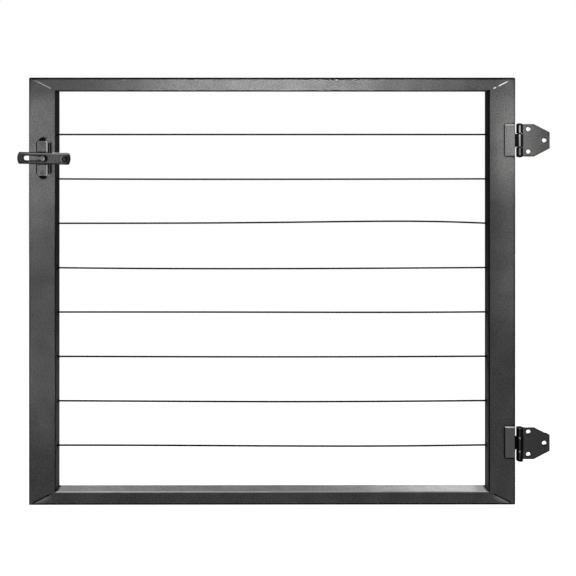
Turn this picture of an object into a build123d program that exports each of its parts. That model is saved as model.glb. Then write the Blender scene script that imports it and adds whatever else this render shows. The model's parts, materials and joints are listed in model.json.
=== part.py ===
from build123d import *
from math import cos, hypot, radians, sin
import os

# A cable railing gate: a mitred frame of steel tube with eight taut wire ropes,
# two leaf hinges and a slotted latch. X runs towards the hinges, Y to the back, Z up.
# The origin is midway between the two screw holes beside the barrel of the lower
# post leaf, on the face that lies against the post.

# Frame of rectangular tube
gate_width = 914.0
gate_height = 803.0
tube_depth = 25.0
stile_width = 50.0
rail_height = 25.0
tube_wall = 1.5
tube_corner = 2.5
frame_corner = 4.0
weld_width = 3.0
weld_height = 0.5

# Wire ropes and their end fittings
cable_count = 8
cable_end_gap = 82.0
cable_diameter = 3.2
swage_gap = 0.02
grommet_bore_gap = 0.2
grommet_body_wall = 1.2
grommet_flange_rim = 0.7
grommet_flange_thick = 0.8
hole_gap = 0.05
stop_across_flats = 8.0
stop_length = 12.0
sleeve_across_flats = 5.2
sleeve_length = 12.0
sleeve_standoff = 0.5
sleeve_bore_depth = 10.0
thread_diameter = 5.0
thread_length = 11.0
nut_across_flats = 9.0
nut_bore_gap = 0.3
nut_grip = 9.0
access_hole_diameter = 14.0
plug_rim = 1.5
plug_cap_thick = 0.8
plug_skirt_length = 5.0

# Leaf hinges
hinge_inset = 118.0
axis_from_stile = 5.0
leaf_thick = 3.0
gate_leaf_height = 59.0
gate_leaf_reach = 25.5
post_leaf_height = 61.0
post_leaf_shoulder = 28.2
post_leaf_reach = 58.0
post_leaf_tip_height = 30.0
leaf_corner = 2.0
gate_knuckle_height = 25.0
knuckle_gap = 0.3
knuckle_edge = 0.9
leaf_edge = 0.8
leaf_cutback = 1.0
roll_seam = 0.5
pin_diameter = 6.0
pin_gap = 0.05
pin_head_diameter = 11.0
pin_head_height = 1.6
screw_hole_diameter = 8.4
screw_hole_spacing = 42.0
screw_hole_from_axis = 17.6
tip_hole_from_axis = 47.4

# Latch
latch_drop = 151.4
latch_offset = 4.6
base_width = 25.0
base_height = 77.0
base_thick = 8.5
base_point_width = 7.0
base_point_length = 9.5
base_edge = 0.8
plate_width = 18.8
plate_height = 64.0
plate_thick = 3.0
plate_corner = 3.0
plate_bevel = 1.0
latch_screw_spacing = 54.0
latch_screw_diameter = 4.0
latch_screw_head_diameter = 8.0
latch_screw_length = 18.0
recess_width = 1.0
recess_span = 4.4
recess_depth = 1.0
guide_offset = 5.5
guide_shank_diameter = 5.2
guide_head_diameter = 11.4
guide_face_diameter = 9.2
guide_head_rim = 1.5
guide_head_height = 7.6
guide_head_edge = 0.8
guide_tail_diameter = 6.6
guide_tail_height = 1.5
tail_room = 0.5
bush_wall = 1.15
bush_end_gap = 0.05
slide_gap = 0.3
slot_travel = 35.0
bar_tip_reach = 50.2
bar_length = 97.9
bar_height = 22.0
bar_thick = 4.0
bar_end_bulge = 3.2
bar_edge = 0.8
bar_droop = 1.2
knob_from_end = 6.4
knob_diameter = 12.2
knob_foot_diameter = 12.4
knob_height = 13.0
knob_edge = 1.2
knob_screw_diameter = 3.5
knob_screw_head_diameter = 6.6
knob_screw_depth = 8.0

# Places that follow from the sizes above
axis_x = -screw_hole_from_axis
barrel_radius = pin_diameter / 2 + pin_gap + leaf_thick
axis_y = -barrel_radius
gate_right = axis_x - axis_from_stile
gate_left = gate_right - gate_width
gate_bottom = -hinge_inset
gate_top = gate_bottom + gate_height
hinge_heights = {"lower": 0.0, "upper": gate_height - 2 * hinge_inset}
middle_y = tube_depth / 2
inner_corner = max(tube_corner - tube_wall, tube_corner / 5)
lowest_cable = gate_bottom + rail_height + cable_end_gap
highest_cable = gate_top - rail_height - cable_end_gap
cable_pitch = (highest_cable - lowest_cable) / (cable_count - 1)
cable_heights = [highest_cable - number * cable_pitch for number in range(cable_count)]

os.makedirs("parts", exist_ok=True)


def mitre(corner_x, corner_z, inside_x, inside_z):
    """The cutting plane of one corner, with its normal pointing into the rail."""
    normal = (inside_x * rail_height, 0, -inside_z * stile_width)
    return Plane(origin=(corner_x, 0, corner_z), x_dir=(0, 1, 0), z_dir=normal)


corners = [
    (gate_left, gate_top, 1, -1),
    (gate_left, gate_bottom, 1, 1),
    (gate_right, gate_top, -1, -1),
    (gate_right, gate_bottom, -1, 1),
]
top_left, bottom_left, top_right, bottom_right = [mitre(*corner) for corner in corners]


def tube_section(width, depth):
    """The section of a rectangular tube, drawn where the sketch stands."""
    RectangleRounded(width, depth, tube_corner)
    inside = (width - 2 * tube_wall, depth - 2 * tube_wall)
    RectangleRounded(*inside, inner_corner, mode=Mode.SUBTRACT)


# The frame's outer form: its four corners are ground round after welding.
with BuildPart() as frame_form:
    with BuildSketch(Plane.XZ):
        with Locations((gate_left + gate_width / 2, gate_bottom + gate_height / 2)):
            RectangleRounded(gate_width, gate_height, frame_corner)
    extrude(amount=-tube_depth)


def across(x):
    """A plane square to the cables at x, with its own axes along Y and Z."""
    return Plane(origin=(x, middle_y, 0), x_dir=(0, 1, 0), z_dir=(1, 0, 0))


cable_spots = [(0, height) for height in cable_heights]
grommet_bore_radius = cable_diameter / 2 + grommet_bore_gap
grommet_body_radius = grommet_bore_radius + grommet_body_wall
wall_hole_radius = grommet_body_radius + hole_gap
latch_x = gate_left + stile_width / 2 + latch_offset
latch_z = gate_top - latch_drop
latch_screw_spots = [(latch_x, latch_z - latch_screw_spacing / 2)]
latch_screw_spots += [(latch_x, latch_z + latch_screw_spacing / 2)]
latch_screw_hole_radius = latch_screw_diameter / 2 + hole_gap

# Latch stile: holes for the cables on its inner side, holes for their ends on the
# outer side, and two pilot holes for the latch screws in front.
with BuildPart() as latch_stile:
    with BuildSketch(Plane.XY.offset(gate_bottom)):
        with Locations((gate_left + stile_width / 2, middle_y)):
            tube_section(stile_width, tube_depth)
    extrude(amount=gate_height)
    split(bisect_by=top_left, keep=Keep.BOTTOM)
    split(bisect_by=bottom_left, keep=Keep.BOTTOM)
    add(frame_form.part, mode=Mode.INTERSECT)
    with BuildSketch(across(gate_left + stile_width)):
        with Locations(*cable_spots):
            Circle(wall_hole_radius)
    extrude(amount=2 * tube_wall, both=True, mode=Mode.SUBTRACT)
    with BuildSketch(across(gate_left)):
        with Locations(*cable_spots):
            Circle(access_hole_diameter / 2)
    extrude(amount=2 * tube_wall, both=True, mode=Mode.SUBTRACT)
    with BuildSketch(Plane.XZ):
        with Locations(*latch_screw_spots):
            Circle(latch_screw_hole_radius)
    extrude(amount=2 * tube_wall, both=True, mode=Mode.SUBTRACT)
latch_stile.part.label = "latch_stile"
export_step(latch_stile.part, "parts/latch_stile.step")

# Hinge stile: the same tube the other way round.
with BuildPart() as hinge_stile:
    with BuildSketch(Plane.XY.offset(gate_bottom)):
        with Locations((gate_right - stile_width / 2, middle_y)):
            tube_section(stile_width, tube_depth)
    extrude(amount=gate_height)
    split(bisect_by=top_right, keep=Keep.BOTTOM)
    split(bisect_by=bottom_right, keep=Keep.BOTTOM)
    add(frame_form.part, mode=Mode.INTERSECT)
    with BuildSketch(across(gate_right - stile_width)):
        with Locations(*cable_spots):
            Circle(wall_hole_radius)
    extrude(amount=2 * tube_wall, both=True, mode=Mode.SUBTRACT)
    with BuildSketch(across(gate_right)):
        with Locations(*cable_spots):
            Circle(access_hole_diameter / 2)
    extrude(amount=2 * tube_wall, both=True, mode=Mode.SUBTRACT)
hinge_stile.part.label = "hinge_stile"
export_step(hinge_stile.part, "parts/hinge_stile.step")

# Rails: narrower tube, so the mitres run from outer to inner corner at a slant.
with BuildPart() as top_rail:
    with BuildSketch(across(gate_left)):
        with Locations((0, gate_top - rail_height / 2)):
            tube_section(tube_depth, rail_height)
    extrude(amount=gate_width)
    split(bisect_by=top_left, keep=Keep.TOP)
    split(bisect_by=top_right, keep=Keep.TOP)
    add(frame_form.part, mode=Mode.INTERSECT)
top_rail.part.label = "top_rail"
export_step(top_rail.part, "parts/top_rail.step")

with BuildPart() as bottom_rail:
    with BuildSketch(across(gate_left)):
        with Locations((0, gate_bottom + rail_height / 2)):
            tube_section(tube_depth, rail_height)
    extrude(amount=gate_width)
    split(bisect_by=bottom_left, keep=Keep.TOP)
    split(bisect_by=bottom_right, keep=Keep.TOP)
    add(frame_form.part, mode=Mode.INTERSECT)
bottom_rail.part.label = "bottom_rail"
export_step(bottom_rail.part, "parts/bottom_rail.step")

# Corner welds: low ground seams along the flat of each mitre, front and back.
seam_length = hypot(stile_width, rail_height) * (1 - 2 * tube_corner / min(stile_width, rail_height))
with BuildPart() as corner_welds:
    for corner_x, corner_z, inside_x, inside_z in corners:
        seam_x = corner_x + inside_x * stile_width / 2
        seam_z = corner_z + inside_z * rail_height / 2
        along = (inside_x * stile_width, 0, inside_z * rail_height)
        for face_y, outward in ((0, -1), (tube_depth, 1)):
            seam = Plane(origin=(seam_x, face_y, seam_z), x_dir=along, z_dir=(0, outward, 0))
            with BuildSketch(seam):
                Rectangle(seam_length, weld_width)
            extrude(amount=weld_height, taper=45)
corner_welds.part.label = "corner_welds"
export_step(corner_welds.part, "parts/corner_welds.step")

# Cables: each runs from its stop inside the latch stile to its stud in the hinge stile.
stop_face_x = gate_left + stile_width - tube_wall
nut_face_x = gate_right - stile_width + tube_wall
cable_start_x = stop_face_x - stop_length
cable_end_x = nut_face_x + sleeve_standoff + sleeve_bore_depth
for number, height in enumerate(cable_heights, start=1):
    with BuildPart() as cable:
        with BuildSketch(across(cable_start_x)):
            with Locations((0, height)):
                Circle(cable_diameter / 2)
        extrude(amount=cable_end_x - cable_start_x)
    cable.part.label = f"cable_{number}"
    export_step(cable.part, f"parts/cable_{number}.step")

# Cable stops: ferrules crimped hexagonal on the cables, pulled against the stile's inner wall.
swaged_radius = cable_diameter / 2 + swage_gap
with BuildPart() as cable_stops:
    with BuildSketch(across(stop_face_x)):
        with Locations(*cable_spots):
            RegularPolygon(stop_across_flats / 2, 6, major_radius=False)
            Circle(swaged_radius, mode=Mode.SUBTRACT)
    extrude(amount=-stop_length)
cable_stops.part.label = "cable_stops"
export_step(cable_stops.part, "parts/cable_stops.step")

# Cable studs: a sleeve crimped hexagonal on the cable, with a thread beyond it.
sleeve_x = nut_face_x + sleeve_standoff
sleeve_corner_radius = sleeve_across_flats / 2 / cos(radians(30))
with BuildPart() as cable_studs:
    with BuildSketch(across(sleeve_x)):
        with Locations(*cable_spots):
            RegularPolygon(sleeve_corner_radius, 6)
    extrude(amount=sleeve_length)
    with BuildSketch(across(sleeve_x + sleeve_length)):
        with Locations(*cable_spots):
            Circle(thread_diameter / 2)
    extrude(amount=thread_length)
    with BuildSketch(across(sleeve_x)):
        with Locations(*cable_spots):
            Circle(swaged_radius)
    extrude(amount=sleeve_bore_depth, mode=Mode.SUBTRACT)
cable_studs.part.label = "cable_studs"
export_step(cable_studs.part, "parts/cable_studs.step")

# Tension nuts: long hexagon nuts, bored out over the sleeve and threaded beyond it.
# They bear on the stile's inner wall and draw the stud outwards.
nut_bore_depth = sleeve_standoff + sleeve_length + nut_bore_gap
with BuildPart() as tension_nuts:
    with BuildSketch(across(nut_face_x)):
        with Locations(*cable_spots):
            RegularPolygon(nut_across_flats / 2, 6, major_radius=False)
            Circle(thread_diameter / 2 + swage_gap, mode=Mode.SUBTRACT)
    extrude(amount=nut_bore_depth + nut_grip)
    with BuildSketch(across(nut_face_x)):
        with Locations(*cable_spots):
            Circle(sleeve_corner_radius + nut_bore_gap)
    extrude(amount=nut_bore_depth, mode=Mode.SUBTRACT)
tension_nuts.part.label = "tension_nuts"
export_step(tension_nuts.part, "parts/tension_nuts.step")

# Grommets: flanged bushes that keep the cables off the edges of the wall holes.
with BuildPart() as grommet:
    with BuildSketch(Plane.YZ):
        Circle(grommet_body_radius + grommet_flange_rim)
    extrude(amount=grommet_flange_thick)
    with BuildSketch(Plane.YZ):
        Circle(grommet_body_radius)
    extrude(amount=-tube_wall)
    with BuildSketch(Plane.YZ):
        Circle(grommet_bore_radius)
    extrude(amount=tube_wall + grommet_flange_thick, both=True, mode=Mode.SUBTRACT)

latch_wall_x = gate_left + stile_width
with BuildPart() as latch_side_grommets:
    with Locations(*[(latch_wall_x, middle_y, height) for height in cable_heights]):
        add(grommet.part)
latch_side_grommets.part.label = "latch_side_grommets"
export_step(latch_side_grommets.part, "parts/latch_side_grommets.step")

hinge_wall_x = gate_right - stile_width
turned = (0, 0, 180)
with BuildPart() as hinge_side_grommets:
    with Locations(*[Location((hinge_wall_x, middle_y, height), turned) for height in cable_heights]):
        add(grommet.part)
hinge_side_grommets.part.label = "hinge_side_grommets"
export_step(hinge_side_grommets.part, "parts/hinge_side_grommets.step")

# Plugs: push-in caps that close the holes the cable ends and nuts go in through.
plug_skirt_radius = access_hole_diameter / 2 - hole_gap
with BuildPart() as plug:
    with BuildSketch(Plane.YZ):
        Circle(access_hole_diameter / 2 + plug_rim)
    extrude(amount=plug_cap_thick, taper=45)
    with BuildSketch(Plane.YZ):
        Circle(plug_skirt_radius)
    extrude(amount=-plug_skirt_length)

with BuildPart() as hinge_side_plugs:
    with Locations(*[(gate_right, middle_y, height) for height in cable_heights]):
        add(plug.part)
hinge_side_plugs.part.label = "hinge_side_plugs"
export_step(hinge_side_plugs.part, "parts/hinge_side_plugs.step")

with BuildPart() as latch_side_plugs:
    with Locations(*[Location((gate_left, middle_y, height), turned) for height in cable_heights]):
        add(plug.part)
latch_side_plugs.part.label = "latch_side_plugs"
export_step(latch_side_plugs.part, "parts/latch_side_plugs.step")

# Hinges: each leaf is one strip of sheet with its edge rolled round the pin. The
# gate leaf keeps the middle knuckle and the post leaf the other two.
bore_radius = pin_diameter / 2 + pin_gap
barrel_keep_out = barrel_radius + leaf_cutback
end_knuckle_height = (post_leaf_height - gate_knuckle_height) / 2 - knuckle_gap
slot_depth = 4 * barrel_radius


def rolled_leaf(reach, side):
    """The section of a leaf and its rolled knuckle, where side is -1 or 1 along X."""
    with Locations((axis_x, axis_y)):
        Circle(barrel_radius)
    with Locations((axis_x + side * reach / 2, -leaf_thick / 2)):
        Rectangle(reach, leaf_thick)
    with Locations((axis_x, axis_y)):
        Circle(bore_radius, mode=Mode.SUBTRACT)
    with Locations((axis_x + side * barrel_radius, -leaf_thick - roll_seam / 2)):
        Rectangle(2 * barrel_radius, roll_seam, mode=Mode.SUBTRACT)


def knuckle_bevel(end, inward):
    """The section cut round a knuckle's end at that height, where inward is -1 or 1 along Z."""
    Polygon(
        (barrel_radius - knuckle_edge, end),
        (barrel_keep_out, end),
        (barrel_keep_out, end + inward * (knuckle_edge + leaf_cutback)),
        align=None,
    )


# The post leaf's blank tapers to its tip and has its front edges broken. It is left
# whole where the barrel is rolled.
with BuildPart() as post_leaf_blank:
    with BuildSketch(Plane.XZ):
        with BuildLine():
            barrel_side = axis_x - 2 * barrel_radius
            shoulder = axis_x + post_leaf_shoulder
            tip = axis_x + post_leaf_reach
            FilletPolyline(
                (barrel_side, -post_leaf_height / 2),
                (shoulder, -post_leaf_height / 2),
                (tip, -post_leaf_tip_height / 2),
                (tip, post_leaf_tip_height / 2),
                (shoulder, post_leaf_height / 2),
                (barrel_side, post_leaf_height / 2),
                radius=leaf_corner,
                close=True,
            )
        make_face()
    extrude(amount=leaf_thick)
    chamfer(faces().sort_by(Axis.Y)[0].edges(), leaf_edge)
    with BuildSketch(Plane.XZ):
        with Locations((axis_x + barrel_keep_out, 0)):
            Rectangle(slot_depth, post_leaf_height, align=(Align.MAX, Align.CENTER))
    extrude(amount=slot_depth)

hinge_axis = Axis((axis_x, axis_y, 0), (0, 0, 1))
hinge_plane = Plane(origin=(axis_x, axis_y, 0), x_dir=(1, 0, 0), z_dir=(0, -1, 0))
for place, height in hinge_heights.items():
    gate_leaf_bottom = Plane.XY.offset(height - gate_leaf_height / 2)
    with BuildPart() as gate_leaf:
        with BuildSketch(gate_leaf_bottom):
            rolled_leaf(gate_leaf_reach, -1)
        extrude(amount=gate_leaf_height)
        with BuildSketch(gate_leaf_bottom):
            with Locations((axis_x - barrel_keep_out, axis_y)):
                Rectangle(slot_depth, slot_depth, align=(Align.MIN, Align.CENTER))
        extrude(amount=(gate_leaf_height - gate_knuckle_height) / 2, mode=Mode.SUBTRACT)
        with BuildSketch(gate_leaf_bottom.offset(gate_leaf_height)):
            with Locations((axis_x - barrel_keep_out, axis_y)):
                Rectangle(slot_depth, slot_depth, align=(Align.MIN, Align.CENTER))
        extrude(amount=-(gate_leaf_height - gate_knuckle_height) / 2, mode=Mode.SUBTRACT)
        front_edges = faces().filter_by(Axis.Y).group_by(Axis.Y)[-2].edges()
        sheared = (axis_x - gate_leaf_reach - leaf_edge, axis_x - barrel_keep_out - leaf_edge)
        chamfer(front_edges.filter_by_position(Axis.X, *sheared), leaf_edge)
        with BuildSketch(hinge_plane):
            knuckle_bevel(height - gate_knuckle_height / 2, 1)
            knuckle_bevel(height + gate_knuckle_height / 2, -1)
        revolve(axis=hinge_axis, mode=Mode.SUBTRACT)
    gate_leaf.part.label = f"{place}_gate_leaf"
    export_step(gate_leaf.part, f"parts/{place}_gate_leaf.step")

    with BuildPart() as post_leaf:
        with BuildSketch(Plane.XY.offset(height - post_leaf_height / 2)):
            rolled_leaf(post_leaf_reach, 1)
        extrude(amount=post_leaf_height)
        with BuildSketch(Plane.XY.offset(height)):
            with Locations((axis_x + barrel_keep_out, axis_y)):
                Rectangle(slot_depth, slot_depth, align=(Align.MAX, Align.CENTER))
        extrude(amount=post_leaf_height / 2 - end_knuckle_height, both=True, mode=Mode.SUBTRACT)
        with Locations((0, 0, height)):
            add(post_leaf_blank.part, mode=Mode.INTERSECT)
        with BuildSketch(Plane.XZ):
            with Locations(
                (axis_x + screw_hole_from_axis, height - screw_hole_spacing / 2),
                (axis_x + screw_hole_from_axis, height + screw_hole_spacing / 2),
                (axis_x + tip_hole_from_axis, height),
            ):
                Circle(screw_hole_diameter / 2)
        extrude(amount=2 * leaf_thick, both=True, mode=Mode.SUBTRACT)
        with BuildSketch(hinge_plane):
            knuckle_bevel(height - post_leaf_height / 2 + end_knuckle_height, -1)
            knuckle_bevel(height + post_leaf_height / 2 - end_knuckle_height, 1)
        revolve(axis=hinge_axis, mode=Mode.SUBTRACT)
    post_leaf.part.label = f"{place}_post_leaf"
    export_step(post_leaf.part, f"parts/{place}_post_leaf.step")

    # The pin is tight in the post leaf's knuckles and headed over at both ends.
    half_pin = post_leaf_height / 2
    pin_top = half_pin + pin_head_height
    with BuildPart() as hinge_pin:
        with BuildSketch(Plane(origin=(axis_x, axis_y, height), x_dir=(1, 0, 0), z_dir=(0, -1, 0))):
            with BuildLine():
                TangentArc((0, pin_top), (pin_head_diameter / 2, half_pin), tangent=(1, 0))
                Polyline(
                    (pin_head_diameter / 2, half_pin),
                    (pin_diameter / 2, half_pin),
                    (pin_diameter / 2, -half_pin),
                    (pin_head_diameter / 2, -half_pin),
                )
                TangentArc((0, -pin_top), (pin_head_diameter / 2, -half_pin), tangent=(1, 0))
                Line((0, -pin_top), (0, pin_top))
            make_face()
        revolve(axis=hinge_axis)
    hinge_pin.part.label = f"{place}_hinge_pin"
    export_step(hinge_pin.part, f"parts/{place}_hinge_pin.step")

# Latch base: an eight-sided pad on the stile's face, recessed for the stud's tail.
half_width = base_width / 2
half_point = base_point_width / 2
half_height = base_height / 2
half_side = half_height - base_point_length
outline = [
    (half_width, half_side),
    (half_point, half_height),
    (-half_point, half_height),
    (-half_width, half_side),
    (-half_width, -half_side),
    (-half_point, -half_height),
    (half_point, -half_height),
    (half_width, -half_side),
]
guide_x = latch_x + guide_offset
with BuildPart() as latch_base:
    with BuildSketch(Plane.XZ):
        with BuildLine():
            Polyline(*[(latch_x + x, latch_z + z) for x, z in outline], close=True)
        make_face()
    extrude(amount=base_thick)
    chamfer(faces().sort_by(Axis.Y)[0].edges(), base_edge)
    with BuildSketch(Plane.XZ):
        with Locations(*latch_screw_spots):
            Circle(latch_screw_hole_radius)
    extrude(amount=base_thick, mode=Mode.SUBTRACT)
    with BuildSketch(Plane.XZ.offset(base_thick)):
        with Locations((guide_x, latch_z)):
            Circle(guide_tail_diameter / 2 + tail_room)
    extrude(amount=-(guide_tail_height + tail_room), mode=Mode.SUBTRACT)
latch_base.part.label = "latch_base"
export_step(latch_base.part, "parts/latch_base.step")

# Latch plate: bevelled flat plate on the pad, countersunk for two screws.
plate_back_y = -base_thick
plate_front_y = plate_back_y - plate_thick
with BuildPart() as latch_plate:
    with BuildSketch(Plane.XZ.offset(base_thick)):
        with Locations((latch_x, latch_z)):
            RectangleRounded(plate_width, plate_height, plate_corner)
    extrude(amount=plate_thick)
    chamfer(faces().sort_by(Axis.Y)[0].edges(), plate_bevel)
    front_turn = (90, 0, 0)
    with Locations(*[Location((x, plate_front_y, z), front_turn) for x, z in latch_screw_spots]):
        CounterSinkHole(
            latch_screw_hole_radius,
            latch_screw_head_diameter / 2 + hole_gap,
            counter_sink_angle=90,
        )
    with BuildSketch(Plane.XZ):
        with Locations((guide_x, latch_z)):
            Circle(guide_shank_diameter / 2 + hole_gap)
    extrude(amount=base_thick + plate_thick, mode=Mode.SUBTRACT)
latch_plate.part.label = "latch_plate"
export_step(latch_plate.part, "parts/latch_plate.step")

# Latch screws: countersunk, with a cross recess, through plate and pad into the stile.
screw_radius = latch_screw_diameter / 2
screw_head_radius = latch_screw_head_diameter / 2
with BuildPart() as latch_screw:
    with BuildSketch(Plane.XY):
        with BuildLine():
            Polyline(
                (0, 0),
                (screw_head_radius, 0),
                (screw_radius, screw_head_radius - screw_radius),
                (screw_radius, latch_screw_length - screw_radius),
                (0, latch_screw_length),
                close=True,
            )
        make_face()
    revolve(axis=Axis.Y)
    with BuildSketch(Plane.XZ):
        Rectangle(recess_span, recess_width)
        Rectangle(recess_width, recess_span)
    extrude(amount=-recess_depth, mode=Mode.SUBTRACT)

with BuildPart() as latch_screws:
    with Locations(*[(x, plate_front_y, z) for x, z in latch_screw_spots]):
        add(latch_screw.part)
latch_screws.part.label = "latch_screws"
export_step(latch_screws.part, "parts/latch_screws.step")

# Guide stud: its tapered head holds the bar on, its tail is peened behind the plate.
bar_back_y = plate_front_y - slide_gap
bar_front_y = bar_back_y - bar_thick
head_under_y = bar_front_y - slide_gap
guide_radius = guide_shank_diameter / 2
guide_head_radius = guide_head_diameter / 2
guide_axis = Axis((guide_x, 0, latch_z), (0, 1, 0))
with BuildPart() as guide_stud:
    with BuildSketch(Plane(origin=(guide_x, 0, latch_z))):
        with BuildLine():
            head_front_y = head_under_y - guide_head_height
            Polyline(
                (0, head_front_y),
                (guide_face_diameter / 2, head_front_y),
                (guide_head_radius, head_under_y - guide_head_rim),
                (guide_head_radius, head_under_y),
                (guide_radius, head_under_y),
                (guide_radius, plate_back_y),
                (guide_tail_diameter / 2, plate_back_y),
                (guide_tail_diameter / 2, plate_back_y + guide_tail_height),
                (0, plate_back_y + guide_tail_height),
                close=True,
            )
        make_face()
    revolve(axis=guide_axis)
    fillet(faces().sort_by(Axis.Y)[0].edges(), guide_head_edge)
guide_stud.part.label = "guide_stud"
export_step(guide_stud.part, "parts/guide_stud.step")

# Guide bush: turns on the stud and fills the slot of the bar.
bush_bore_radius = guide_radius + pin_gap
bush_radius = bush_bore_radius + bush_wall
with BuildPart() as guide_bush:
    with BuildSketch(Plane.XZ.offset(-plate_front_y + bush_end_gap)):
        with Locations((guide_x, latch_z)):
            Circle(bush_radius)
            Circle(bush_bore_radius, mode=Mode.SUBTRACT)
    extrude(amount=plate_front_y - head_under_y - 2 * bush_end_gap)
guide_bush.part.label = "guide_bush"
export_step(guide_bush.part, "parts/guide_bush.step")

# Latch bar: slotted flat bar that hangs on the bush, drooping a little to the knob.
droop = radians(bar_droop)
bar_plane = Plane(
    origin=(guide_x, bar_back_y, latch_z),
    x_dir=(cos(droop), 0, -sin(droop)),
    z_dir=(0, -1, 0),
)
handle_reach = bar_length - bar_tip_reach
knob_centre = bar_plane.from_local_coords((handle_reach - knob_from_end, 0, 0))
knob_screw_hole_radius = knob_screw_diameter / 2 + hole_gap
with BuildPart() as latch_bar:
    with BuildSketch(bar_plane):
        with BuildLine():
            left = -bar_tip_reach + bar_end_bulge
            right = handle_reach - bar_end_bulge
            Line((left, bar_height / 2), (right, bar_height / 2))
            ThreePointArc((right, bar_height / 2), (handle_reach, 0), (right, -bar_height / 2))
            Line((right, -bar_height / 2), (left, -bar_height / 2))
            ThreePointArc((left, -bar_height / 2), (-bar_tip_reach, 0), (left, bar_height / 2))
        make_face()
        with Locations((-slot_travel / 2, 0)):
            SlotCenterToCenter(slot_travel, 2 * (bush_radius + slide_gap), mode=Mode.SUBTRACT)
    extrude(amount=bar_thick)
    chamfer(faces().sort_by(Axis.Y)[0].edges(), bar_edge)
    back_turn = (-90, 0, 0)
    with Locations(Location((knob_centre.X, bar_back_y, knob_centre.Z), back_turn)):
        CounterSinkHole(
            knob_screw_hole_radius,
            knob_screw_head_diameter / 2 + hole_gap,
            counter_sink_angle=90,
        )
latch_bar.part.label = "latch_bar"
export_step(latch_bar.part, "parts/latch_bar.step")

# Knob: turned pull, drawn down on the bar by a screw from behind.
knob_axis = Axis((knob_centre.X, 0, knob_centre.Z), (0, 1, 0))
knob_plane = Plane(origin=(knob_centre.X, 0, knob_centre.Z))
knob_front_y = bar_front_y - knob_height
with BuildPart() as latch_knob:
    with BuildSketch(knob_plane):
        with BuildLine():
            Polyline(
                (0, bar_front_y),
                (knob_foot_diameter / 2, bar_front_y),
                (knob_diameter / 2, bar_front_y - knob_height / 2),
                (knob_diameter / 2, knob_front_y),
                (0, knob_front_y),
                close=True,
            )
        make_face()
    revolve(axis=knob_axis)
    fillet(faces().sort_by(Axis.Y)[0].edges(), knob_edge)
    with BuildSketch(Plane.XZ.offset(-bar_front_y)):
        with Locations((knob_centre.X, knob_centre.Z)):
            Circle(knob_screw_hole_radius)
    extrude(amount=knob_screw_depth + tail_room, mode=Mode.SUBTRACT)
latch_knob.part.label = "latch_knob"
export_step(latch_knob.part, "parts/latch_knob.step")

knob_screw_radius = knob_screw_diameter / 2
knob_screw_head_radius = knob_screw_head_diameter / 2
with BuildPart() as knob_screw:
    with BuildSketch(knob_plane):
        with BuildLine():
            Polyline(
                (0, bar_back_y),
                (knob_screw_head_radius, bar_back_y),
                (knob_screw_radius, bar_back_y - (knob_screw_head_radius - knob_screw_radius)),
                (knob_screw_radius, bar_front_y - knob_screw_depth),
                (0, bar_front_y - knob_screw_depth),
                close=True,
            )
        make_face()
    revolve(axis=knob_axis)
knob_screw.part.label = "knob_screw"
export_step(knob_screw.part, "parts/knob_screw.step")
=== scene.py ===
"""A black cable railing gate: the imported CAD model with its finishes, wire ropes and welds,
on a plain stage with its light and camera."""

import json
from math import cos, log, pi, radians, sin

import bmesh
import bpy
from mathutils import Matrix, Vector, noise


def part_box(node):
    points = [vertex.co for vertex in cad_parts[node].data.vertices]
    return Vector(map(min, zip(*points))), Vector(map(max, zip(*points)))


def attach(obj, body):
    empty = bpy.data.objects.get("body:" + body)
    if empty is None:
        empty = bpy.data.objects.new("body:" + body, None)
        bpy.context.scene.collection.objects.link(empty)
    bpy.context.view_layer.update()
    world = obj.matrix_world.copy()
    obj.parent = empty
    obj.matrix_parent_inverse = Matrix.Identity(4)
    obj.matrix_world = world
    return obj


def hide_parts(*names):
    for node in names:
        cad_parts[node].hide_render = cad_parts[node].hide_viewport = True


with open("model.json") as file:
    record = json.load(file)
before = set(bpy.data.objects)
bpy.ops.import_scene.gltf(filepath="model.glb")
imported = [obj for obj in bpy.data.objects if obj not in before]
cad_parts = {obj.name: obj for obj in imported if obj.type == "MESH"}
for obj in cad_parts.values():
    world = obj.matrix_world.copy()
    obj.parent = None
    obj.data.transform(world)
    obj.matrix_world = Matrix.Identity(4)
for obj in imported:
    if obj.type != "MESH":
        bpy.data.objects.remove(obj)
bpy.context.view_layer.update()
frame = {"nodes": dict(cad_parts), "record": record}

# The frame: two stiles and two rails of mitred steel tube, welded at the corners and
# then powder coated as one piece. The powder is sprayed on dry and baked.
nodes = frame["nodes"]
MM = 0.001
latch_low, latch_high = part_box("latch_stile")
hinge_low, hinge_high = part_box("hinge_stile")
top_rail_low, top_rail_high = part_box("top_rail")
top_z = top_rail_high.z
low_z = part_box("bottom_rail")[0].z
middle_x = (latch_low.x + hinge_high.x) / 2
between_stiles = (latch_high.x, hinge_low.x)
frame_tones = {"dark": "4c4c4c", "light": "646464", "roughness": 0.6, "specular": 0.006}


def linear(hex_colour):
    """The linear colour of an sRGB hex value, with full alpha."""
    channels = [int(hex_colour[at:at + 2], 16) / 255 for at in (0, 2, 4)]
    shares = [c / 12.92 if c <= 0.04045 else ((c + 0.055) / 1.055) ** 2.4 for c in channels]
    return (*shares, 1.0)


def new_finish(name):
    """An empty node material of that name, and its node tree."""
    finish = bpy.data.materials.new(name)
    finish.use_nodes = True
    finish.node_tree.nodes.clear()
    return finish, finish.node_tree


def add(tree, kind, inputs, **settings):
    """Adds a node with its settings. An input is a value, or the socket or node that feeds it."""
    node = tree.nodes.new(kind)
    for name, value in settings.items():
        setattr(node, name, value)
    for name, value in inputs.items():
        if isinstance(value, bpy.types.Node):
            value = value.outputs[0]
        if isinstance(value, bpy.types.NodeSocket):
            tree.links.new(value, node.inputs[name])
        else:
            node.inputs[name].default_value = value
    return node


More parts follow.
